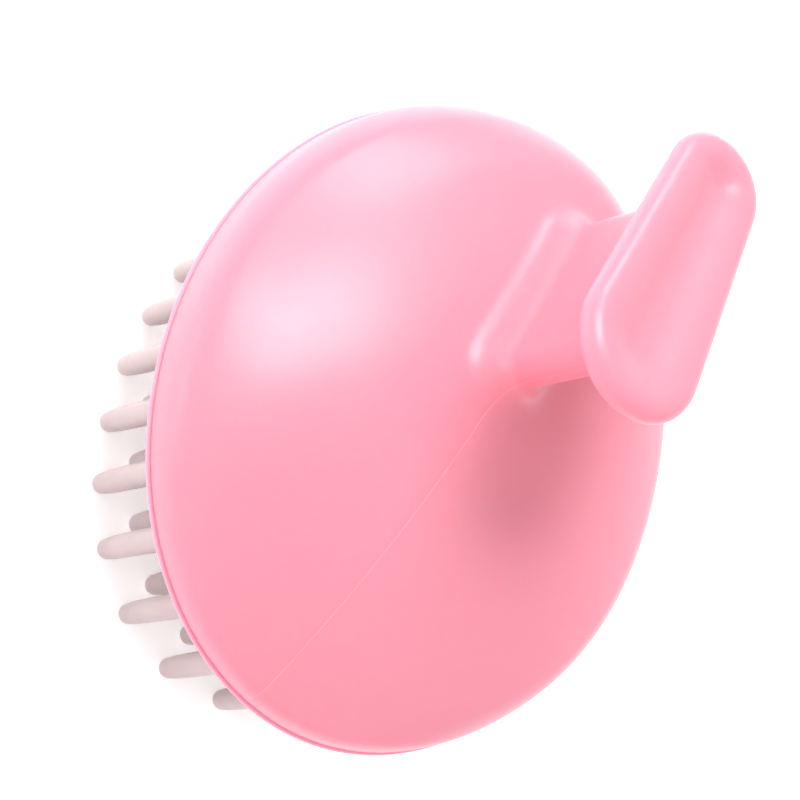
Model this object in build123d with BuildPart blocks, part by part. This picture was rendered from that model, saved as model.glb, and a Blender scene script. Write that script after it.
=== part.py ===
from build123d import *
from math import cos, pi, radians, sin, sqrt
import os

# Hand-held scalp massager: a domed oval shell with a finger rest on a thin neck, pressed onto a
# base plate that carries a soft pad of teeth. Millimetres, +Z up. The origin is under the middle
# of the oval base, in the plane that the tooth tips touch. X runs along the oval and the rest.

# ---- base oval and heights ----
base_length = 80.0          # lip of the base plate, along X
base_width = 66.2           # and along Y
rim_z = 20.9                # lower edge of the lip, above the tooth tips
lip_height = 0.6            # lip that shows below the shell
lip_step = 0.25             # how far the lip stands out past the shell

# ---- dome of the shell ----
wall = 1.8
crown_radius = 96.0         # long, shallow arc over the top, along X
cross_radius = 64.0         # and across it
crown_x = 6.7               # its highest point, off centre towards the neck
crown_rise = 15.3           # and how far that is above the rim
back_roll = 2.4             # radius where the top rolls over into the side, at the -X end
front_roll = 9.0            # at the +X end
side_roll = 4.5             # and along both sides
egg_share = 1.6             # how far the widest place stays behind as the sections move to +X
dome_sections = 10
section_points = 16
section_crowding = 1.3      # packs the sections closer towards the rim

# ---- neck ----
neck_x = 14.9
neck_length = 24.0
neck_width = 4.8
neck_root_fillet = 5.0
neck_top_fillet = 2.0
core_length = 17.0          # slot that cores out the neck from inside the shell
core_width = 1.4
core_rise = 24.0            # top of the slot above the rim

# ---- finger rest ----
rest_x = 16.9
rest_rise = 37.6            # middle of the rest's top above the rim
rest_tilt = 8.4             # degrees that the rest dips towards +X
rest_spacing = 24.4         # between the centres of its two rounded ends
rest_back_radius = 8.6      # rounded end over the middle of the dome
rest_front_radius = 6.6     # rounded end over the rim
rest_thickness = 3.1
rest_edge_fillet = 1.3
rest_brim_fillet = 0.7
scoop_border = 1.5
scoop_depth = 1.9
scoop_taper = 50.0
scoop_floor_fillet = 2.0

# ---- sockets and ribs inside the shell ----
socket_gap = 0.08           # radial clearance of a peg in its socket
socket_wall = 1.5
socket_spare = 0.4          # depth left over the end of a peg
seat_gap = 0.2              # between the sockets and the base plate
rib_thickness = 1.2
rib_length = 52.0
rib_bottom_rise = 7.0       # lower edge of the ribs above the rim

# ---- base plate ----
plate_thickness = 1.7
platform_inset = 3.6        # raised middle, which the shell's wall fits round
plate_rib_inset = 11.0
plate_rib_width = 1.2
plate_rib_height = 1.5
peg_x = 13.0
peg_y = 9.5
peg_diameter = 4.8
peg_height = 6.6
peg_chamfer = 0.5
peg_slot_width = 0.9

# ---- bristle pad ----
pad_inset = 4.2
pad_thickness = 1.6
pad_edge_fillet = 0.6
pad_bead_inset = 5.4        # bead on top of the pad, in a groove under the plate
pad_bead_width = 1.2
pad_bead_height = 0.8
pad_fit = 0.05              # between the pad and the plate's groove and holes
plug_x = 22.0
plug_y = 6.0
plug_diameter = 3.0
plug_head_diameter = 4.6
plug_head_height = 1.2
plug_head_fillet = 0.5

# ---- teeth ----
tooth_root_diameter = 3.1
tooth_waist_diameter = 2.8
tooth_waist_z = 4.5         # where the body begins to taper to the tip
tooth_tip_diameter = 2.4
tooth_ring_inset_x = 6.6    # outer ring of teeth, in from the rim
tooth_ring_inset_y = 7.4
tooth_ring_pitch_x = 4.9    # from one ring of teeth in to the next
tooth_ring_pitch_y = 4.7
tooth_ring_counts = (25, 22, 16, 12, 8)
tooth_ring_spread = (0.86, 0.95, 1, 1, 1)  # under 1, the teeth stand wider apart at the ends
centre_tooth_spacing = 8.0

# ---- worked out ----
half_length = base_length / 2
half_width = base_width / 2
shell_bottom = rim_z + lip_height
plate_top = rim_z + plate_thickness
socket_bottom = plate_top + seat_gap
socket_depth = peg_height + socket_spare - seat_gap
pad_bottom = rim_z - pad_thickness
rest_angle = radians(rest_tilt)
rest_plane = Plane(
    origin=(rest_x, 0, rim_z + rest_rise),
    x_dir=(cos(rest_angle), 0, -sin(rest_angle)),
    z_dir=(sin(rest_angle), 0, cos(rest_angle)),
)
peg_places = GridLocations(2 * peg_x, 2 * peg_y, 2, 2)
plug_places = GridLocations(2 * plug_x, 2 * plug_y, 2, 2)


def reach(height, wall_reach, radius, roll, depth):
    """How far the dome's surface is from the crown's axis, at a height and towards one side."""
    arc_radius = radius - depth
    arc_z = rim_z + crown_rise - radius
    roll_reach = wall_reach - roll
    roll_z = arc_z + sqrt((radius - roll) ** 2 - roll_reach**2)
    blend_z = arc_z + arc_radius * (roll_z - arc_z) / (radius - roll)
    if height < roll_z:
        return wall_reach - depth
    if height < blend_z:
        return roll_reach + sqrt((roll - depth) ** 2 - (height - roll_z) ** 2)
    return sqrt(arc_radius**2 - (height - arc_z) ** 2)


def dome_section(height, depth):
    """Egg-shaped level section through the dome."""
    wall_x = half_length - lip_step
    wall_y = half_width - lip_step
    front = crown_x + reach(height, wall_x - crown_x, crown_radius, front_roll, depth)
    back = crown_x - reach(height, wall_x + crown_x, crown_radius, back_roll, depth)
    side = reach(height, wall_y, cross_radius, side_roll, depth)
    middle = (front + back) / 2
    half = (front - back) / 2
    egg = egg_share * middle * half / wall_x
    turns = [2 * pi * point / section_points for point in range(section_points)]
    with BuildSketch(Plane.XY.offset(height)) as section:
        with BuildLine():
            Spline(
                *[(middle + half * cos(t) - egg * sin(t) ** 2, side * sin(t)) for t in turns],
                periodic=True,
            )
        make_face()
    return section.sketch


def dome(depth):
    """Solid dome: the outside of the shell at depth 0, its inside at the wall's depth."""
    top = rim_z + crown_rise - depth
    rises = [sin(step / dome_sections * pi / 2) ** section_crowding for step in range(dome_sections)]
    sections = [dome_section(shell_bottom + (top - shell_bottom) * rise, depth) for rise in rises]
    with BuildPart() as solid:
        loft(sections=[*sections, Vertex(crown_x, 0, top)])
    return solid.part


def rest_outline(border):
    """Outline of the finger rest on its tilted plane, drawn in from the edge by border."""
    with BuildSketch(rest_plane) as outline:
        with Locations((-rest_spacing / 2, 0)):
            Circle(rest_back_radius - border)
        with Locations((rest_spacing / 2, 0)):
            Circle(rest_front_radius - border)
        make_hull()
    return outline.sketch


def oval_band(inset, width):
    """Oval band, its outer edge drawn in from the rim by inset."""
    Ellipse(half_length - inset, half_width - inset)
    Ellipse(half_length - inset - width, half_width - inset - width, mode=Mode.SUBTRACT)


def tooth_ring(ring):
    """Places of one ring of teeth, from the -X end, even along an oval as narrow as the spread."""
    radius_x = half_length - tooth_ring_inset_x - ring * tooth_ring_pitch_x
    radius_y = half_width - tooth_ring_inset_y - ring * tooth_ring_pitch_y
    spread = tooth_ring_spread[ring]
    path = Edge.make_ellipse(radius_x, radius_y * spread)
    pitch = path.length / tooth_ring_counts[ring]
    steps = range(tooth_ring_counts[ring])
    places = [path.position_at(step * pitch, PositionMode.LENGTH) for step in steps]
    return [(-place.X, place.Y / spread) for place in places]


os.makedirs("parts", exist_ok=True)

# ---- sockets and ribs, trimmed to the dome ----
with BuildPart() as stiffening:
    with BuildSketch(Plane.XY.offset(socket_bottom)):
        with peg_places:
            Circle(peg_diameter / 2 + socket_gap + socket_wall)
    extrude(amount=crown_rise)
    with BuildSketch(Plane.XY.offset(rim_z + rib_bottom_rise)):
        Rectangle(rib_length, rib_thickness)
        with GridLocations(2 * peg_x, 0, 2, 1):
            Rectangle(rib_thickness, 0.7 * rib_length)
    extrude(amount=crown_rise)
    add(dome(wall / 2), mode=Mode.INTERSECT)

# ---- handle shell: dome, neck and finger rest in one moulding ----
with BuildPart() as handle_shell:
    add(dome(0))
    with BuildSketch(Plane.XY.offset(rim_z + crown_rise / 2)):
        with Locations((neck_x, 0)):
            SlotOverall(neck_length, neck_width)
    extrude(amount=rest_rise)
    split(bisect_by=rest_plane.offset(-rest_thickness / 2), keep=Keep.BOTTOM)
    root_edges = (
        edges()
        .filter_by(GeomType.BSPLINE)
        .filter_by_position(Axis.Y, -neck_width, neck_width)
        .filter_by_position(Axis.Z, rim_z + crown_rise / 2 + 1, rim_z + crown_rise + 1)
        .filter_by_position(Axis.X, neck_x - neck_length, neck_x + neck_length)
    )
    fillet(root_edges, neck_root_fillet)
    add(rest_outline(0))
    extrude(amount=-rest_thickness)
    underside = faces().filter_by(rest_plane).sort_by(Axis.Z)[0]
    fillet(underside.inner_wires()[0].edges(), neck_top_fillet)
    underside = faces().filter_by(rest_plane).sort_by(Axis.Z)[0]
    fillet(underside.outer_wire().edges(), rest_edge_fillet)
    add(rest_outline(scoop_border))
    extrude(amount=-scoop_depth, taper=scoop_taper, mode=Mode.SUBTRACT)
    scoop_floor = faces().filter_by(rest_plane).sort_by(Axis.Z)[1]
    fillet(scoop_floor.edges(), scoop_floor_fillet)
    brim = faces().filter_by(rest_plane).sort_by(Axis.Z)[-1]
    fillet(brim.edges(), rest_brim_fillet)
    add(dome(wall), mode=Mode.SUBTRACT)
    add(stiffening)
    with BuildSketch(Plane.XY.offset(rim_z + rib_bottom_rise)):
        with Locations((neck_x, 0)):
            SlotOverall(core_length, core_width)
    extrude(amount=core_rise - rib_bottom_rise, mode=Mode.SUBTRACT)
    with BuildSketch(Plane.XY.offset(socket_bottom)):
        with peg_places:
            Circle(peg_diameter / 2 + socket_gap)
    extrude(amount=socket_depth, mode=Mode.SUBTRACT)
handle_shell.part.label = "handle_shell"

# ---- base plate: rigid oval with the lip that shows, and split pegs for the sockets ----
with BuildPart() as base_plate:
    with BuildSketch(Plane.XY.offset(rim_z)):
        Ellipse(half_length, half_width)
    extrude(amount=lip_height)
    with BuildSketch(Plane.XY.offset(rim_z)):
        Ellipse(half_length - platform_inset, half_width - platform_inset)
    extrude(amount=plate_thickness)
    with BuildSketch(Plane.XY.offset(plate_top)):
        oval_band(plate_rib_inset, plate_rib_width)
    extrude(amount=plate_rib_height)
    with BuildSketch(Plane.XY.offset(plate_top)):
        with peg_places:
            Circle(peg_diameter / 2)
    extrude(amount=peg_height)
    peg_ends = faces().filter_by(Axis.Z).group_by(Axis.Z)[-1]
    chamfer(peg_ends.edges(), peg_chamfer)
    with BuildSketch(Plane.XY.offset(plate_top)):
        with peg_places:
            Rectangle(peg_diameter, peg_slot_width)
    extrude(amount=peg_height, mode=Mode.SUBTRACT)
    with BuildSketch(Plane.XY.offset(rim_z)):
        oval_band(pad_bead_inset - pad_fit, pad_bead_width + 2 * pad_fit)
    extrude(amount=pad_bead_height + pad_fit, mode=Mode.SUBTRACT)
    with BuildSketch(Plane.XY.offset(rim_z)):
        with plug_places:
            Circle(plug_diameter / 2 + pad_fit)
    extrude(amount=plate_thickness, mode=Mode.SUBTRACT)
base_plate.part.label = "base_plate"

# ---- one tooth, from inside the pad down to its rounded tip ----
tip_radius = tooth_tip_diameter / 2
root_radius = tooth_root_diameter / 2
tooth_top = rim_z - pad_thickness / 2
with BuildPart() as tooth:
    with BuildSketch(Plane.XZ):
        with BuildLine():
            RadiusArc((0, 0), (tip_radius, tip_radius), -tip_radius)
            Polyline(
                (tip_radius, tip_radius),
                (tooth_waist_diameter / 2, tooth_waist_z),
                (root_radius, pad_bottom),
                (root_radius, tooth_top),
                (0, tooth_top),
                (0, 0),
            )
        make_face()
    revolve(axis=Axis.Z)

# ---- bristle pad: soft oval field with its teeth, edge bead and retaining plugs ----
with BuildPart() as bristle_pad:
    with BuildSketch(Plane.XY.offset(pad_bottom)):
        Ellipse(half_length - pad_inset, half_width - pad_inset)
    extrude(amount=pad_thickness)
    fillet(faces().sort_by(Axis.Z)[0].edges(), pad_edge_fillet)
    with BuildSketch(Plane.XY.offset(rim_z)):
        oval_band(pad_bead_inset, pad_bead_width)
    extrude(amount=pad_bead_height)
    with BuildSketch(Plane.XY.offset(rim_z)):
        with plug_places:
            Circle(plug_diameter / 2)
    extrude(amount=plate_thickness)
    with BuildSketch(Plane.XY.offset(plate_top)):
        with plug_places:
            Circle(plug_head_diameter / 2)
    extrude(amount=plug_head_height)
    fillet(faces().group_by(Axis.Z)[-1].edges(), plug_head_fillet)
    for ring in range(len(tooth_ring_counts)):
        with Locations(*tooth_ring(ring)):
            add(tooth.part)
    with GridLocations(centre_tooth_spacing, 0, 2, 1):
        add(tooth.part)
bristle_pad.part.label = "bristle_pad"

for piece in (handle_shell.part, base_plate.part, bristle_pad.part):
    export_step(piece, f"parts/{piece.label}.step")
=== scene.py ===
"""Looks of the scalp massager: shell with its finger rest, base plate, soft pad of teeth."""

from math import acos, asin, cos, pi, radians, sin, sqrt

import bmesh
import bpy
import numpy as np
from mathutils import Matrix, Vector


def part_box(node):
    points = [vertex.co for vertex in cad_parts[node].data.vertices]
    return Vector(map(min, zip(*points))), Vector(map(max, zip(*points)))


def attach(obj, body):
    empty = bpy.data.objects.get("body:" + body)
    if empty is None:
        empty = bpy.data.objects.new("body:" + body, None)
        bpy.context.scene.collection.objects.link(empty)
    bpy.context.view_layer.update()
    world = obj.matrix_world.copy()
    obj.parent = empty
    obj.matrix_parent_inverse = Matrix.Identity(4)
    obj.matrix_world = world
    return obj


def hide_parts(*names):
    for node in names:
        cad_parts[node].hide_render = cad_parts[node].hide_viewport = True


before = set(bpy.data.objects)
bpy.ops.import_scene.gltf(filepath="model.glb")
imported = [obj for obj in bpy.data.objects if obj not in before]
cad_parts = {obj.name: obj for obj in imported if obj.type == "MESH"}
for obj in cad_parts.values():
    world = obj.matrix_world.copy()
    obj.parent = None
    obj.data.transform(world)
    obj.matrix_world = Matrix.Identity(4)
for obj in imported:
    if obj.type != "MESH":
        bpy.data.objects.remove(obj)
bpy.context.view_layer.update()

# Lengths are in millimetres, as in the CAD, and become metres where a mesh is made.
MM = 0.001

# ---- from the frame ----
plate_low, plate_high = (np.array(corner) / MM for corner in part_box("base_plate"))
pad_high = np.array(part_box("bristle_pad")[1]) / MM
RIM_Z = float(plate_low[2])
HALF_LENGTH = float(plate_high[0])
HALF_WIDTH = float(plate_high[1])
PAD_INSET = HALF_LENGTH - float(pad_high[0])

# ---- dome of the shell, heights above the rim ----
LIP_HEIGHT = 0.6
LIP_STEP = 0.25
WALL = 1.8
CROWN_RADIUS = 96.0
CROSS_RADIUS = 64.0
CROWN_X = 6.7
CROWN_RISE = 15.3
BACK_ROLL = 2.4
FRONT_ROLL = 9.0
SIDE_ROLL = 4.5
EGG_SHARE = 1.6
WALL_RISE = 2.0             # up to here the side is made of level rings
BOTTOM_EASE = 0.25          # radius on the shell's lower edge

# ---- neck and finger rest ----
NECK_X = 14.9
NECK_LENGTH = 24.0
NECK_WIDTH = 4.8
ROOT_FILLET = 5.0
TOP_FILLET = 2.0
CORE_LENGTH = 17.0
CORE_WIDTH = 1.4
CORE_RISE = 24.0
REST_X = 16.9
REST_RISE = 37.6
REST_TILT = radians(8.4)
REST_SPACING = 24.4
REST_BACK_RADIUS = 8.6
REST_FRONT_RADIUS = 6.6
REST_THICKNESS = 3.1
REST_EDGE = 1.3
BRIM_INSET = 2.4            # highest line round the dish, in from the edge
BRIM_ROLL = 1.7             # and how far the edge rolls down from it
DISH_BACK_DEPTH = 1.65
DISH_FRONT_DEPTH = 1.15

# ---- base plate ----
PLATE_THICKNESS = 1.7
PLATFORM_INSET = 3.6
PLATE_RIB_INSET = 11.0
PLATE_RIB_WIDTH = 1.2
PLATE_RIB_HEIGHT = 1.5
PEG_X = 13.0
PEG_Y = 9.5
PEG_RADIUS = 2.4
PEG_HEIGHT = 6.6
PEG_CHAMFER = 0.5
PEG_SLOT = 0.9
SOCKET_GAP = 0.08
SOCKET_WALL = 1.5
SEAT_GAP = 0.2
SOCKET_SPARE = 0.4
RIB_RISE = 7.0
RIB_THICKNESS = 1.2

# ---- bristle pad ----
PAD_THICKNESS = 1.6
PAD_EDGE = 0.6              # radius on the pad's lower edge, and of a tooth's flare
PLUG_X = 22.0
PLUG_Y = 6.0
PLUG_HEAD_RADIUS = 2.3
PLUG_HEAD_HEIGHT = 1.2
PLUG_HEAD_EDGE = 0.5
TOOTH_ROOT = 1.55
TOOTH_WAIST = 1.4
TOOTH_WAIST_Z = 4.5
TOOTH_TIP = 1.2
TOOTH_COUNTS = (25, 22, 16, 12, 8)
TOOTH_SPREAD = (0.86, 0.95, 1, 1, 1)
TOOTH_INSET = (6.6, 7.4)
TOOTH_PITCH = (4.9, 4.7)
CENTRE_TOOTH_X = 4.0
RIDGE_HEIGHT = 0.04         # fine rings round the tapered end of a tooth
RIDGE_PITCH = 0.6

QUARTER = 48                # points along each quarter of a shell ring
RING = 4 * QUARTER


# ---------------------------------------------------------------- mesh helpers

def skin(rings):
    """Vertices and quads of a closed surface through rings that have the same number of points."""
    rings = np.asarray(rings, float)
    count, points, _ = rings.shape
    index = np.arange(count * points).reshape(count, points)
    after = np.roll(index, -1, axis=1)
    quads = np.stack([index[:-1], after[:-1], after[1:], index[1:]], -1)
    return rings.reshape(-1, 3), quads.reshape(-1, 4)


def build(name, parts, sharp=60):
    """One mesh object from several (vertices, faces) parts, welded, smooth, with sharp creases kept."""
    verts, faces, start = [], [], 0
    for part_verts, part_faces in parts:
        verts.append(part_verts)
        faces.append(np.asarray(part_faces) + start)
        start += len(part_verts)
    mesh = bpy.data.meshes.new(name)
    mesh.from_pydata((np.concatenate(verts) * MM).tolist(), [], np.concatenate(faces).tolist())
    work = bmesh.new()
    work.from_mesh(mesh)
    bmesh.ops.remove_doubles(work, verts=work.verts, dist=0.0005 * MM)
    bmesh.ops.dissolve_degenerate(work, edges=work.edges, dist=0.0005 * MM)
    bmesh.ops.recalc_face_normals(work, faces=work.faces)
    for face in work.faces:
        face.smooth = True
    work.to_mesh(mesh)
    work.free()
    mesh.set_sharp_from_angle(angle=radians(sharp))
    thing = bpy.data.objects.new(name, mesh)
    bpy.context.scene.collection.objects.link(thing)
    return thing


def arc(centre, radius, start, end, steps):
    """Points of an arc in a profile plane, from one angle in degrees to another."""
    turns = np.radians(np.linspace(start, end, steps + 1))
    return [(centre[0] + radius * cos(t), centre[1] + radius * sin(t)) for t in turns]


def lathe(profile, centre=(0, 0), points=24):
    """Surface of revolution of (radius, height) points, about a vertical line."""
    turns = np.linspace(0, 2 * pi, points, endpoint=False)
    circle = np.stack([np.cos(turns), np.sin(turns), 0 * turns], 1)
    rings = [radius * circle + (centre[0], centre[1], height) for radius, height in profile]
    return skin(rings)


def oval_rings(profile, points=160):
    """Rings of an oval plate from (inset, height) points; an inset of None closes it on its spine."""
    turns = np.linspace(0, 2 * pi, points, endpoint=False)
    spine = HALF_LENGTH - HALF_WIDTH
    rings = []
    for inset, height in profile:
        reach_x = spine if inset is None else HALF_LENGTH - inset
        reach_y = 0 if inset is None else HALF_WIDTH - inset
        rings.append(np.stack([reach_x * np.cos(turns), reach_y * np.sin(turns), 0 * turns + height], 1))
    return rings


# ---------------------------------------------------------------- shape of the dome

def reach(height, wall_reach, radius, roll, depth):
    """How far the dome's surface is from the crown's axis, at a height and towards one side."""
    arc_z = CROWN_RISE - radius
    roll_reach = wall_reach - roll
    roll_z = arc_z + sqrt((radius - roll) ** 2 - roll_reach**2)
    blend_z = arc_z + (radius - depth) * (roll_z - arc_z) / (radius - roll)
    rolled = roll_reach + np.sqrt(np.maximum((roll - depth) ** 2 - (height - roll_z) ** 2, 0))
    crowned = np.sqrt(np.maximum((radius - depth) ** 2 - (height - arc_z) ** 2, 1e-6))
    return np.where(height < roll_z, wall_reach - depth, np.where(height < blend_z, rolled, crowned))


def section(height, depth):
    """Middle, half length, egg shift and half width of the dome's level section at a height."""
    wall_x = HALF_LENGTH - LIP_STEP
    wall_y = HALF_WIDTH - LIP_STEP
    front = CROWN_X + reach(height, wall_x - CROWN_X, CROWN_RADIUS, FRONT_ROLL, depth)
    back = CROWN_X - reach(height, wall_x + CROWN_X, CROWN_RADIUS, BACK_ROLL, depth)
    side = reach(height, wall_y, CROSS_RADIUS, SIDE_ROLL, depth)
    middle = (front + back) / 2
    half = (front - back) / 2
    return middle, half, EGG_SHARE * middle * half / wall_x, side


def dome_height(spot, depth):
    """Height of the dome's surface over level places, found by halving."""
    low = np.full(len(spot), LIP_HEIGHT)
    high = np.full(len(spot), CROWN_RISE - depth)
    for _ in range(40):
        height = (low + high) / 2
        middle, half, egg, side = section(height, depth)
        across = spot[:, 1] / side
        along = (spot[:, 0] - middle + egg * across**2) / half
        inside = along**2 + across**2 < 1
        low = np.where(inside, height, low)
        high = np.where(inside, high, height)
    return low


def dome_slope(spot, depth):
    """Rise of the dome's surface per millimetre along X and along Y."""
    step = 0.05
    rises = [
        dome_height(spot + shift, depth) - dome_height(spot - shift, depth)
        for shift in (np.array((step, 0)), np.array((0, step)))
    ]
    return np.stack(rises, 1) / (2 * step)


def level_ring(height, depth):
    """Ring of the dome's side at one height."""
    middle, half, egg, side = section(np.float64(height), depth)
    across = np.sin(oval_turns)
    x = middle + half * np.cos(oval_turns) - egg * across**2
    return np.stack([x, side * across, 0 * x + height], 1)


# ---------------------------------------------------------------- outlines with matching points

STEPS = np.linspace(0, 1, QUARTER, endpoint=False)


def ring_turns(front):
    """Angles round a ring: its front end, its +Y side, its back end and its -Y side."""
    side = pi - 2 * front
    return np.concatenate([
        front * (2 * STEPS - 1),
        front + side * STEPS,
        pi - front + 2 * front * STEPS,
        pi + front + side * STEPS,
    ])


oval_turns = ring_turns(radians(57))


def capsule(back_radius, front_radius, spacing):
    """Outline round two circles, about the middle between them, and its outward normals."""
    lean = acos((back_radius - front_radius) / spacing)
    turns = np.concatenate([
        lean * (2 * STEPS - 1),
        np.full(QUARTER, lean),
        lean + (2 * pi - 2 * lean) * STEPS,
        np.full(QUARTER, 2 * pi - lean),
    ])
    to_back = np.concatenate([0 * STEPS, STEPS, 0 * STEPS + 1, 1 - STEPS])
    normal = np.stack([np.cos(turns), np.sin(turns)], 1)
    radius = front_radius + (back_radius - front_radius) * to_back
    outline = radius[:, None] * normal
    outline[:, 0] += spacing * (0.5 - to_back)
    return outline, normal


def slot_outline(length, width):
    """Round-ended slot at the neck, and its outward normals."""
    outline, normal = capsule(width / 2, width / 2, length - width)
    return outline + (NECK_X, 0), normal


def on_dome(spot, depth):
    """Points of the dome's surface over level places."""
    return np.column_stack([spot, dome_height(spot, depth)])


def blend_directions(start, end, steps):
    """Directions from start to end along the shorter way round, row by row."""
    angle = np.arccos(np.clip((start * end).sum(1), -1, 1))[:, None]
    return [
        (np.sin((1 - share) * angle) * start + np.sin(share * angle) * end) / np.sin(angle)
        for share in np.linspace(0, 1, steps + 1)
    ]


# ---------------------------------------------------------------- shell

tilt_along = np.array((cos(REST_TILT), 0, -sin(REST_TILT)))
tilt_up = np.array((sin(REST_TILT), 0, cos(REST_TILT)))
rest_middle = np.array((REST_X, 0, REST_RISE))


def on_rest(outline, height):
    """Points of an outline on the tilted plane of the finger rest, a height above its brim."""
    return rest_middle + outline[:, :1] * tilt_along + outline[:, 1:] * (0, 1, 0) + height * tilt_up


def rest_ring(inset, height):
    """Ring of the finger rest, drawn in from its edge by inset."""
    outline, _ = capsule(REST_BACK_RADIUS - inset, REST_FRONT_RADIUS - inset, REST_SPACING)
    return on_rest(outline, height)


def dish_ring(share):
    """Ring of the dish, from its brim at share 0 in to its spine at share 1."""
    back = (REST_BACK_RADIUS - BRIM_INSET) * (1 - share) + 2e-6
    front = (REST_FRONT_RADIUS - BRIM_INSET) * (1 - share) + 1e-6
    outline, _ = capsule(back, front, REST_SPACING)
    to_front = np.clip(0.5 + outline[:, 0] / REST_SPACING, 0, 1)
    depth = DISH_BACK_DEPTH + (DISH_FRONT_DEPTH - DISH_BACK_DEPTH) * to_front
    drop = depth * (1 - cos(pi * share)) / 2
    return on_rest(outline, 0) - drop[:, None] * tilt_up


def core_rings():
    """Inside of the neck, from its closed top down to the inside of the dome."""
    outline, normal = slot_outline(CORE_LENGTH, CORE_WIDTH)
    spine, _ = slot_outline(CORE_LENGTH - CORE_WIDTH, 1e-6)
    ease = 0.3
    mouth = on_dome(outline + ease * normal, WALL)
    top = np.column_stack([spine, np.full(RING, CORE_RISE)])
    wall_top = np.column_stack([outline, np.full(RING, CORE_RISE)])
    wall_foot = np.column_stack([outline, mouth[:, 2] + ease])
    return [top, wall_top, wall_foot, mouth]


def dome_rings(inner, depth, steps, level_steps):
    """Rings from one on the dome out to its side, then down to the lip."""
    outer = level_ring(WALL_RISE, depth)[:, :2]
    shares = np.linspace(1, 0, steps + 1)[1:-1] ** 2
    rings = [on_dome(outer + share * (inner[:, :2] - outer), depth) for share in shares]
    heights = np.linspace(WALL_RISE, LIP_HEIGHT + BOTTOM_EASE, level_steps)
    rings += [level_ring(height, depth) for height in heights]
    return rings


def bottom_rings():
    """Lower edge of the shell, eased on both sides."""
    rings = []
    for depth_from, side, turns in ((WALL, -1, (30, 60, 90)), (0, 1, (90, 60, 30))):
        for turn in turns:
            depth = depth_from + side * BOTTOM_EASE * (1 - cos(radians(turn)))
            ring = level_ring(LIP_HEIGHT, depth)
            ring[:, 2] = LIP_HEIGHT + BOTTOM_EASE * (1 - sin(radians(turn)))
            rings.append(ring)
    return rings


def neck_rings():
    """Root fillet, neck and flare under the finger rest, as a ball rolled round them leaves them."""
    outline, normal = slot_outline(NECK_LENGTH, NECK_WIDTH)
    inward = np.column_stack([-normal, np.zeros(RING)])
    spot = outline + ROOT_FILLET * normal
    slope = dome_slope(spot, 0)
    upright = np.column_stack([-slope, np.ones(RING)])
    steepness = np.linalg.norm(upright, axis=1)
    centre = np.column_stack([spot, dome_height(spot, 0) + ROOT_FILLET * steepness])
    down = -upright / steepness[:, None]
    rings = [centre + ROOT_FILLET * way for way in blend_directions(down, inward, 14)]
    spot = outline + TOP_FILLET * normal
    under = rest_middle - REST_THICKNESS * tilt_up
    ceiling = under[2] - (spot[:, 0] - under[0]) * tilt_up[0] / tilt_up[2]
    centre = np.column_stack([spot, ceiling - TOP_FILLET / tilt_up[2]])
    flare = [
        centre + TOP_FILLET * way
        for way in blend_directions(inward, np.tile(tilt_up, (RING, 1)), 8)
    ]
    foot, head = rings[-1], flare[0]
    rings += [foot + share * (head - foot) for share in np.linspace(0, 1, 10)[1:-1]]
    return rings + flare


def finger_rest_rings(under_neck):
    """Underside, edge, brim and dish of the finger rest."""
    profile = arc((REST_EDGE, REST_EDGE - REST_THICKNESS), REST_EDGE, 270, 180, 8)
    for turn in np.radians(np.linspace(0, 90, 13)):
        profile.append((BRIM_INSET * (1 - cos(turn)), BRIM_ROLL * (sin(turn) - 1)))
    rings = [rest_ring(inset, height) for inset, height in profile]
    underside = [under_neck + share * (rings[0] - under_neck) for share in (0.25, 0.5, 0.75)]
    return underside + rings + [dish_ring(share) for share in np.linspace(0, 1, 19)[1:]]


def lift(rings):
    """Heights above the rim become heights above the floor."""
    return np.asarray(rings) + (0, 0, RIM_Z)


def shell_rings():
    """Rings of the inside, the lower edge and the outside of the shell."""
    inner = core_rings()
    inner += dome_rings(inner[-1], WALL, 26, 5)
    outer_neck = neck_rings()
    outer = dome_rings(outer_neck[0], 0, 44, 6)[::-1] + outer_neck
    outer += finger_rest_rings(outer[-1])
    return inner, bottom_rings(), outer


inner_rings, edge_rings, outer_rings = shell_rings()
shell = build("shell", [skin(lift(inner_rings + edge_rings + outer_rings))], sharp=50)
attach(shell, "handle")
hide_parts("handle_shell")


# ---------------------------------------------------------------- parting line of the moulding

LINE_WIDTH = 0.13
LINE_HEIGHT = 0.012
RINGS_BELOW_LINE = 4        # it starts this many rings above the shell's lower edge
RINGS_PAST_LINE = 48        # and ends at the top of the neck, this many rings from the last


def bead(path):
    """Low rounded ridge along a path in the XZ plane, half sunk into the surface."""
    along = np.gradient(path, axis=0)
    along /= np.linalg.norm(along, axis=1)[:, None]
    outward = np.column_stack([-along[:, 2], 0 * along[:, 0], along[:, 0]])
    turns = np.linspace(0, 2 * pi, 8, endpoint=False)
    across = np.outer(np.cos(turns) * LINE_WIDTH / 2, (0, 1, 0))
    rise = np.sin(turns) * LINE_HEIGHT
    rings = [spot + across + np.outer(rise, out) for spot, out in zip(path, outward)]
    ends = [np.tile(path[0], (8, 1)), np.tile(path[-1], (8, 1))]
    return skin([ends[0], *rings, ends[1]])


back_middle = 2 * QUARTER + QUARTER // 2
line_path = lift(outer_rings)[RINGS_BELOW_LINE:-RINGS_PAST_LINE, back_middle]
parting_line = build("parting_line", [bead(line_path)])
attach(parting_line, "handle")


# ---------------------------------------------------------------- sockets and ribs inside the shell

SOCKET_BOTTOM = PLATE_THICKNESS + SEAT_GAP
SOCKET_EASE = 0.3           # radius on a socket's mouth
RIB_END = 26                # half the length of the rib along X
CROSS_RIB_END = 18          # and of those along Y
RIB_SINK = 0.5              # how far a rib's top goes into the dome's wall


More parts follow.
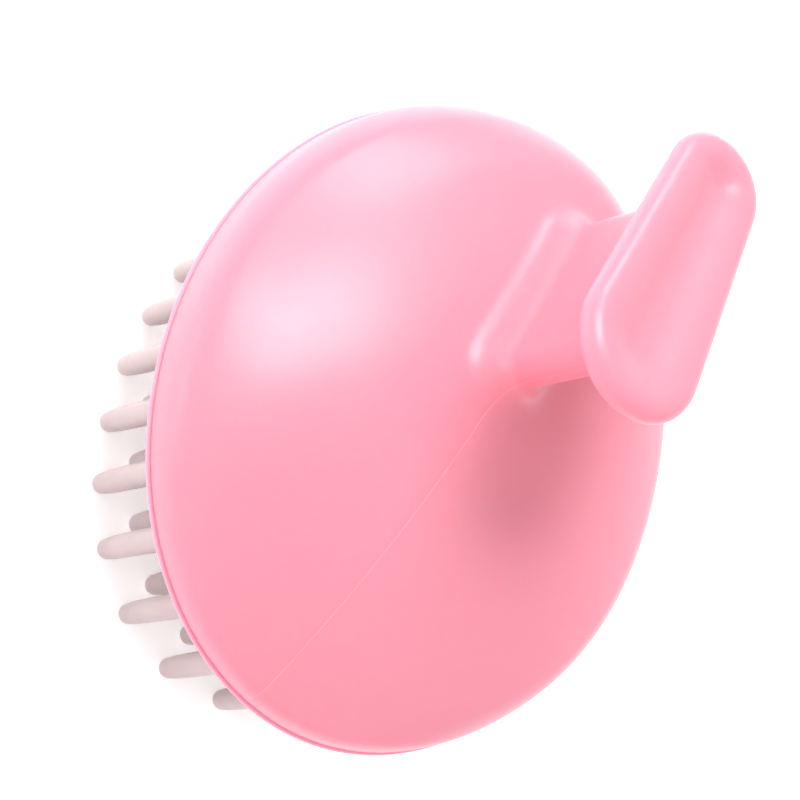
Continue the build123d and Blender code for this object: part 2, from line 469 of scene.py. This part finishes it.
def socket(x, y):
    """Tube that takes a peg; its closed top is sunk into the dome."""
    inside = PEG_RADIUS + SOCKET_GAP
    outside = inside + SOCKET_WALL
    roof = PLATE_THICKNESS + PEG_HEIGHT + SOCKET_SPARE
    far_corner = (x + np.sign(x) * outside, y + np.sign(y) * outside)
    top = max(float(dome_height(np.array([far_corner]), WALL)[0]), roof + 0.4)
    profile = [(0, roof), (inside, roof)]
    profile += [(inside, SOCKET_BOTTOM + SOCKET_EASE), (inside + SOCKET_EASE, SOCKET_BOTTOM)]
    profile += [(outside - SOCKET_EASE, SOCKET_BOTTOM), (outside, SOCKET_BOTTOM + SOCKET_EASE)]
    profile += [(outside, top), (0, top)]
    verts, faces = lathe(profile, (x, y), 40)
    return verts + (0, 0, RIM_Z), faces


def rib(start, end):
    """Upright rib between two places, its top sunk into the dome."""
    start, end = np.array(start, float), np.array(end, float)
    along = (end - start) / np.linalg.norm(end - start)
    half = RIB_THICKNESS / 2 * np.array((-along[1], along[0]))
    rings = []
    for share in np.linspace(0, 1, 41):
        spot = start + share * (end - start)
        top = float(dome_height(np.array([spot]), WALL - RIB_SINK)[0])
        corners = ((spot - half, RIB_RISE), (spot + half, RIB_RISE), (spot + half, top), (spot - half, top))
        rings.append([(*place, height + RIM_Z) for place, height in corners])
    cap_start = np.tile(np.mean(rings[0], axis=0), (4, 1))
    cap_end = np.tile(np.mean(rings[-1], axis=0), (4, 1))
    return skin([cap_start, *rings, cap_end])


inside_parts = [socket(x, y) for x in (-PEG_X, PEG_X) for y in (-PEG_Y, PEG_Y)]
inside_parts.append(rib((-RIB_END, 0), (NECK_X - CORE_LENGTH / 2, 0)))
inside_parts.append(rib((NECK_X + CORE_LENGTH / 2, 0), (RIB_END, 0)))
inside_parts += [rib((x, -CROSS_RIB_END), (x, CROSS_RIB_END)) for x in (-PEG_X, PEG_X)]
sockets = build("shell_sockets", inside_parts, sharp=40)
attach(sockets, "handle")


# ---------------------------------------------------------------- base plate

def plate_part():
    """Oval plate with its lip, raised middle and stiffening ring."""
    ease = 0.22
    lip = arc((ease, ease), ease, 270, 180, 5) + arc((ease, LIP_HEIGHT - ease), ease, 180, 90, 5)
    rib_out = PLATE_RIB_INSET
    rib_in = PLATE_RIB_INSET + PLATE_RIB_WIDTH
    rib_top = PLATE_THICKNESS + PLATE_RIB_HEIGHT
    profile = [(None, 0), *lip]
    profile += [(PLATFORM_INSET, LIP_HEIGHT), (PLATFORM_INSET, PLATE_THICKNESS - 0.3)]
    profile += [(PLATFORM_INSET + 0.3, PLATE_THICKNESS)]
    profile += [(rib_out, PLATE_THICKNESS), (rib_out, rib_top - 0.2), (rib_out + 0.2, rib_top)]
    profile += [(rib_in - 0.2, rib_top), (rib_in, rib_top - 0.2), (rib_in, PLATE_THICKNESS)]
    profile += [(None, PLATE_THICKNESS)]
    return skin(lift(oval_rings(profile)))


def half_peg(x, y, side):
    """One half of a split peg, with a chamfered end."""
    clear = asin(PEG_SLOT / 2 / PEG_RADIUS)
    turns = np.linspace(clear, pi - clear, 20)
    top = PLATE_THICKNESS + PEG_HEIGHT
    rings = []
    for height, inset in ((0, 0), (top - PEG_CHAMFER, 0), (top, PEG_CHAMFER)):
        radius = PEG_RADIUS - inset
        across = np.maximum(radius * np.sin(turns), PEG_SLOT / 2)
        ring = np.stack([radius * np.cos(turns), side * across, 0 * turns + height + RIM_Z], 1)
        rings.append(ring + (x, y, 0))
    rings = [np.tile(rings[0].mean(0), (20, 1)), *rings, np.tile(rings[-1].mean(0), (20, 1))]
    return skin(rings)


plate_parts = [plate_part()]
peg_places = [(x, y) for x in (-PEG_X, PEG_X) for y in (-PEG_Y, PEG_Y)]
plate_parts += [half_peg(x, y, side) for x, y in peg_places for side in (-1, 1)]
plate = build("base_plate_moulding", plate_parts, sharp=35)
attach(plate, "brush_head")
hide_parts("base_plate")


# ---------------------------------------------------------------- bristle pad

def tooth_profile():
    """Radius and height of a tooth from its rounded tip up to its flare into the pad."""
    root_z = RIM_Z - PAD_THICKNESS
    profile = arc((0, TOOTH_TIP), TOOTH_TIP, 270, 355, 8)
    profile[0] = (0, 0)
    for height in np.linspace(TOOTH_TIP + 0.1, TOOTH_WAIST_Z, 31):
        share = (height - TOOTH_TIP) / (TOOTH_WAIST_Z - TOOTH_TIP)
        wave = max(0.0, sin(2 * pi * height / RIDGE_PITCH))
        ridge = RIDGE_HEIGHT * wave * min(1, 3 * share, 3 * (1 - share))
        profile.append((TOOTH_TIP + (TOOTH_WAIST - TOOTH_TIP) * share + ridge, height))
    rise = root_z - TOOTH_WAIST_Z
    for share in np.linspace(0.1, 0.9, 9):
        profile.append((TOOTH_WAIST + (TOOTH_ROOT - TOOTH_WAIST) * share, TOOTH_WAIST_Z + share * rise))
    flare = arc((TOOTH_ROOT + PAD_EDGE, root_z - PAD_EDGE), PAD_EDGE, 180, 90, 5)
    sunk_z = root_z + PAD_THICKNESS / 4
    return profile + flare + [(TOOTH_ROOT + PAD_EDGE, sunk_z), (0, sunk_z)]


def ring_places(ring):
    """Places of one ring of teeth, from the -X end, even along an oval as narrow as the spread."""
    reach_x = HALF_LENGTH - TOOTH_INSET[0] - ring * TOOTH_PITCH[0]
    reach_y = HALF_WIDTH - TOOTH_INSET[1] - ring * TOOTH_PITCH[1]
    turns = np.linspace(0, 2 * pi, 4001)
    pace = np.hypot(reach_x * np.sin(turns), TOOTH_SPREAD[ring] * reach_y * np.cos(turns))
    length = np.concatenate([[0], np.cumsum((pace[1:] + pace[:-1]) / 2)])
    count = TOOTH_COUNTS[ring]
    at = np.interp(np.arange(count) / count * length[-1], length, turns)
    return np.stack([-reach_x * np.cos(at), reach_y * np.sin(at)], 1)


def pad_parts():
    """Oval pad, its plugs' heads and all its teeth."""
    edge = arc((PAD_INSET + PAD_EDGE, PAD_EDGE - PAD_THICKNESS), PAD_EDGE, 270, 180, 6)
    profile = [(None, -PAD_THICKNESS), *edge, (PAD_INSET, 0), (None, 0)]
    parts = [skin(lift(oval_rings(profile)))]
    head_low = PLATE_THICKNESS + RIM_Z
    head_high = head_low + PLUG_HEAD_HEIGHT
    flat = PLUG_HEAD_RADIUS - PLUG_HEAD_EDGE
    plug = [(0, head_low), *arc((flat, head_low + PLUG_HEAD_EDGE), PLUG_HEAD_EDGE, 270, 360, 4)]
    plug += [*arc((flat, head_high - PLUG_HEAD_EDGE), PLUG_HEAD_EDGE, 0, 90, 4), (0, head_high)]
    parts += [lathe(plug, (x, y)) for x in (-PLUG_X, PLUG_X) for y in (-PLUG_Y, PLUG_Y)]
    places = np.concatenate([ring_places(ring) for ring in range(len(TOOTH_COUNTS))])
    places = np.concatenate([places, [(-CENTRE_TOOTH_X, 0), (CENTRE_TOOTH_X, 0)]])
    shape = tooth_profile()
    return parts + [lathe(shape, place) for place in places]


pad = build("bristle_pad_moulding", pad_parts(), sharp=50)
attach(pad, "brush_head")
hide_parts("bristle_pad")


# ---------------------------------------------------------------- materials

def new_material(name):
    material = bpy.data.materials.new(name)
    material.use_nodes = True
    nodes = material.node_tree.nodes
    return material, nodes, material.node_tree.links, nodes["Principled BSDF"]


def noise(nodes, links, scale, detail):
    where = nodes.new("ShaderNodeTexCoord")
    texture = nodes.new("ShaderNodeTexNoise")
    texture.inputs["Scale"].default_value = scale
    texture.inputs["Detail"].default_value = detail
    links.new(where.outputs["Object"], texture.inputs["Vector"])
    return texture


def ramp_between(nodes, links, source, low, high):
    """Colour that moves between two shades as the noise goes from 0.3 to 0.7."""
    ramp = nodes.new("ShaderNodeValToRGB")
    ramp.color_ramp.elements[0].position = 0.3
    ramp.color_ramp.elements[0].color = (*low, 1)
    ramp.color_ramp.elements[1].position = 0.7
    ramp.color_ramp.elements[1].color = (*high, 1)
    links.new(source.outputs["Fac"], ramp.inputs["Fac"])
    return ramp


def range_between(nodes, links, source, low, high):
    """Value that moves between low and high as the noise goes from 0.3 to 0.7."""
    spread = nodes.new("ShaderNodeMapRange")
    spread.inputs["From Min"].default_value = 0.3
    spread.inputs["From Max"].default_value = 0.7
    spread.inputs["To Min"].default_value = low
    spread.inputs["To Max"].default_value = high
    links.new(source.outputs["Fac"], spread.inputs["Value"])
    return spread


def bumped(nodes, links, shader, source, strength, distance):
    bump = nodes.new("ShaderNodeBump")
    bump.inputs["Strength"].default_value = strength
    bump.inputs["Distance"].default_value = distance
    links.new(source.outputs["Fac"], bump.inputs["Height"])
    links.new(bump.outputs["Normal"], shader.inputs["Normal"])


def moulded_plastic(name, low, high, roughness, scatter, scatter_reach):
    """Glossy moulded plastic that light goes a little way into: cloudy colour, faint flow in the gloss."""
    material, nodes, links, shader = new_material(name)
    clouds = noise(nodes, links, 28, 3)
    links.new(ramp_between(nodes, links, clouds, low, high).outputs["Color"], shader.inputs["Base Color"])
    flow = noise(nodes, links, 160, 4)
    gloss = range_between(nodes, links, flow, roughness[0], roughness[1])
    links.new(gloss.outputs["Result"], shader.inputs["Roughness"])
    bumped(nodes, links, shader, noise(nodes, links, 420, 2), 0.02, 0.0001)
    shader.inputs["IOR"].default_value = 1.49
    shader.inputs["Subsurface Weight"].default_value = scatter
    shader.inputs["Subsurface Radius"].default_value = scatter_reach
    shader.inputs["Subsurface Scale"].default_value = 1.0
    return material


def elastomer(name):
    """Pearly, slightly see-through soft rubber of the teeth."""
    material, nodes, links, shader = new_material(name)
    clouds = noise(nodes, links, 120, 2)
    colour = ramp_between(nodes, links, clouds, (0.47, 0.375, 0.375), (0.55, 0.455, 0.45))
    links.new(colour.outputs["Color"], shader.inputs["Base Color"])
    flow = noise(nodes, links, 700, 3)
    gloss = range_between(nodes, links, flow, 0.29, 0.36)
    links.new(gloss.outputs["Result"], shader.inputs["Roughness"])
    bumped(nodes, links, shader, noise(nodes, links, 1100, 2), 0.35, 0.0001)
    shader.inputs["IOR"].default_value = 1.43
    shader.inputs["Subsurface Weight"].default_value = 0.5
    shader.inputs["Subsurface Radius"].default_value = (0.0016, 0.0012, 0.0012)
    shader.inputs["Subsurface Scale"].default_value = 1.0
    shader.inputs["Coat Weight"].default_value = 0.4
    shader.inputs["Coat Roughness"].default_value = 0.29
    return material


PINK_REACH = (0.0080, 0.0022, 0.0028)
shell_plastic = moulded_plastic(
    "shell_plastic", (0.990, 0.268, 0.350), (0.995, 0.283, 0.365), (0.29, 0.33), 0.6, PINK_REACH
)
plate_plastic = moulded_plastic(
    "plate_plastic", (0.985, 0.26, 0.34), (0.99, 0.28, 0.36), (0.42, 0.50), 0.6, PINK_REACH
)
# the parting line's pink is painted lighter than the shell's: a painted highlight for the light its raised
# ridge catches
line_painted_highlight = moulded_plastic(
    "line_painted_highlight", (0.98, 0.33, 0.41), (0.98, 0.35, 0.43), (0.30, 0.36), 0.0, PINK_REACH
)
soft_rubber = elastomer("soft_rubber")

finishes = {
    shell: shell_plastic,
    parting_line: line_painted_highlight,
    sockets: shell_plastic,
    plate: plate_plastic,
    pad: soft_rubber,
}
for thing, material in finishes.items():
    thing.data.materials.append(material)


def finish_node(name, material):
    """Puts a material on a CAD node in place of its plain one."""
    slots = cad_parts[name].data.materials
    slots.clear()
    slots.append(material)


finish_node("handle_shell", shell_plastic)
finish_node("base_plate", plate_plastic)
finish_node("bristle_pad", soft_rubber)


# ---------------------------------------------------------------- floor, light and camera

FLOOR_GLOW = 0.45           # like a light table, so that hardly a shadow shows


def floor_object(half):
    """Square pale floor."""
    mesh = bpy.data.meshes.new("floor")
    corners = [(-half, -half, 0), (half, -half, 0), (half, half, 0), (-half, half, 0)]
    mesh.from_pydata(corners, [], [(0, 1, 2, 3)])
    floor = bpy.data.objects.new("floor", mesh)
    bpy.context.scene.collection.objects.link(floor)
    material, _, _, shader = new_material("floor_white")
    shader.inputs["Base Color"].default_value = (0.95, 0.95, 0.95, 1)
    shader.inputs["Roughness"].default_value = 0.9
    shader.inputs["Specular IOR Level"].default_value = 0.1
    shader.inputs["Emission Color"].default_value = (1, 1, 1, 1)
    shader.inputs["Emission Strength"].default_value = FLOOR_GLOW
    mesh.materials.append(material)


floor_object(3.0)

SKY_STRENGTH = 0.78

world = bpy.data.worlds.new("studio")
world.use_nodes = True
world.node_tree.nodes["Background"].inputs["Color"].default_value = (1, 1, 1, 1)
world.node_tree.nodes["Background"].inputs["Strength"].default_value = SKY_STRENGTH
bpy.context.scene.world = world
bpy.context.scene.view_settings.view_transform = "Standard"

VIEW_AZIMUTH = radians(231.17)
VIEW_ELEVATION = radians(51.83)
VIEW_ROLL = radians(-77.11)
VIEW_DISTANCE = 0.400
VIEW_LENS = 157.56

target = Vector((1.79, 2.40, RIM_Z - 0.09)) * MM
back = Vector((
    sin(VIEW_AZIMUTH) * cos(VIEW_ELEVATION),
    -cos(VIEW_AZIMUTH) * cos(VIEW_ELEVATION),
    sin(VIEW_ELEVATION),
))
level = Vector((cos(VIEW_AZIMUTH), sin(VIEW_AZIMUTH), 0))
upright = back.cross(level)
view_up = cos(VIEW_ROLL) * upright + sin(VIEW_ROLL) * level
view_right = view_up.cross(back)

camera_data = bpy.data.cameras.new("camera")
camera_data.lens = VIEW_LENS
camera_data.sensor_width = 36
camera_data.clip_start = 0.01
camera_data.clip_end = 20
camera = bpy.data.objects.new("camera", camera_data)
bpy.context.scene.collection.objects.link(camera)
turn = Matrix((view_right, view_up, back)).transposed()
camera.matrix_world = Matrix.Translation(target + VIEW_DISTANCE * back) @ turn.to_4x4()
bpy.context.scene.camera = camera


def softbox(name, direction, distance, size, power):
    """Rectangular light that shines on the object from a direction."""
    data = bpy.data.lights.new(name, "AREA")
    data.shape = "RECTANGLE"
    data.size, data.size_y = size
    data.energy = power
    lamp = bpy.data.objects.new(name, data)
    bpy.context.scene.collection.objects.link(lamp)
    way = Vector(direction).normalized()
    lamp.location = target + distance * way
    lamp.rotation_mode = "QUATERNION"
    lamp.rotation_quaternion = way.to_track_quat("Z", "Y")


softbox("key", (0.33, 0.30, 0.89), 0.8, (0.38, 0.30), 4.3)
softbox("sky", (-0.30, 0.80, 0.52), 1.0, (1.6, 1.6), 3.6)
softbox("side", (0.78, 0.33, 0.53), 0.8, (0.16, 0.22), 1.2)
softbox("fill", (-0.30, 0.94, 0.05), 0.9, (0.5, 0.12), 0.8)
